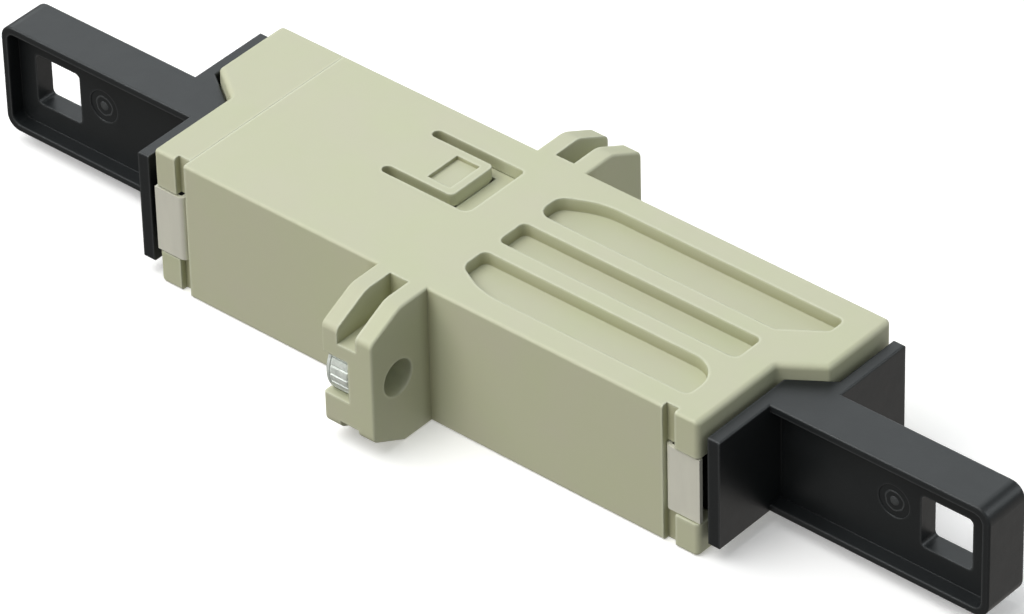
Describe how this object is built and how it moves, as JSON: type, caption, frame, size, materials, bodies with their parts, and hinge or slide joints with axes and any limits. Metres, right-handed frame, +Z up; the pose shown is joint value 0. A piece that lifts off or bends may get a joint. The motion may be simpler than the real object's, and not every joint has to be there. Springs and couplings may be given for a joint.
{
  "type": "lsh fibre adapter",
  "caption": "Simplex optical fibre adapter with a split sleeve, spring shutters, a two-hole mounting flange and pull-out dust plugs.",
  "frame": {"origin": "middle of the underside, halfway along the housing and halfway across the flange", "axes": "+X along the adapter, towards the one-piece mouth; +Y across it, from one flange ear to the other; +Z up through the grooved deck"},
  "size_m": [0.0686, 0.022, 0.0088],
  "materials": {
    "housing_plastic": "fine matt moulded, beige-green",
    "plug_plastic": "satin moulded, charcoal",
    "holder_plastic": "fine matt moulded",
    "zirconia": "polished white ceramic",
    "stainless_sheet": "satin rolled sheet",
    "stainless_wire": "drawn wire",
    "insert_metal": "nickel plated, knurled"
  },
  "bodies": {
    "housing": {"housing": "housing_plastic", "mouth_insert": "housing_plastic", "split_sleeve": "zirconia", "sleeve_holder_right": "holder_plastic", "sleeve_holder_left": "holder_plastic", "shutter_frame_right": "stainless_sheet", "shutter_frame_left": "stainless_sheet", "shutter_pin_right": "stainless_wire", "shutter_pin_left": "stainless_wire", "shutter_spring_right": "stainless_wire", "shutter_spring_left": "stainless_wire", "threaded_insert_far": "insert_metal", "threaded_insert_near": "insert_metal"},
    "shutter_right": {"shutter_flap_right": "stainless_sheet"},
    "shutter_left": {"shutter_flap_left": "stainless_sheet"},
    "dust_plug_right": {"dust_plug_right": "plug_plastic"},
    "dust_plug_left": {"dust_plug_left": "plug_plastic"}
  },
  "joints": [
    {"name": "dust_plug_right_pull", "type": "slide", "parent": "housing", "child": "dust_plug_right", "axis": [1, 0, 0], "range_m": [0, 0.03]},
    {"name": "dust_plug_left_pull", "type": "slide", "parent": "housing", "child": "dust_plug_left", "axis": [-1, 0, 0], "range_m": [0, 0.03]},
    {"name": "shutter_right_swing", "type": "hinge", "parent": "housing", "child": "shutter_right", "pos_m": [0.0126, 0, 0.0066], "axis": [0, 1, 0], "range_deg": [0, 85], "stiffness_Nm_per_rad": 0.00004, "springref_deg": -28.65, "deforming": ["shutter_spring_right"]},
    {"name": "shutter_left_swing", "type": "hinge", "parent": "housing", "child": "shutter_left", "pos_m": [-0.0126, 0, 0.0066], "axis": [0, -1, 0], "range_deg": [0, 85], "stiffness_Nm_per_rad": 0.00004, "springref_deg": -28.65, "deforming": ["shutter_spring_left"]}
  ]
}
